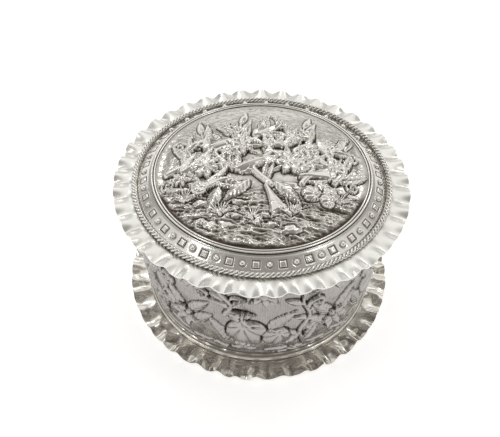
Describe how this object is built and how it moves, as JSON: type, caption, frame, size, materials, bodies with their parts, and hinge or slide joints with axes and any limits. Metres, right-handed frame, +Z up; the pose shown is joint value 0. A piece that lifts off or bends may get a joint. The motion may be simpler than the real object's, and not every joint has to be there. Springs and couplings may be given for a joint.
{
  "type": "trinket box",
  "caption": "Round silver trinket box with a domed lift-off lid in relief, a twisted wire and studded band on the lid, and crimped frills round lid and base.",
  "frame": {"origin": "middle of the underside of the base plate, on the surface that the box stands on", "axes": "+Z up along the round axis towards the lid; -Y is the side nearest the camera in the picture"},
  "size_m": [0.102, 0.102, 0.0598],
  "materials": {
    "plain_silver": "plain sheet silver, worn satin",
    "frill_silver": "polished sheet silver with fine wear",
    "chased_silver": "chased silver, matted ground, dark in the chased lines",
    "rope_silver": "polished twisted silver wire, dark between the strands",
    "band_silver": "embossed silver, polished studs on a darker ground",
    "relief_silver": "silver in high relief, polished on high spots, dark in the recesses"
  },
  "bodies": {
    "box": {"base_plate": "plain_silver", "base_frill": "frill_silver", "foot_moulding": "frill_silver", "body_wall": "chased_silver", "mouth_wire": "plain_silver"},
    "lid": {"lid_collar": "plain_silver", "lid_frill": "frill_silver", "lid_rope": "rope_silver", "lid_border_band": "band_silver", "lid_moulding": "frill_silver", "lid_medallion": "relief_silver"}
  },
  "joints": [
    {"name": "lid_lift", "type": "slide", "parent": "box", "child": "lid", "axis": [0, 0, 1], "range_m": [0, 0.06]}
  ]
}
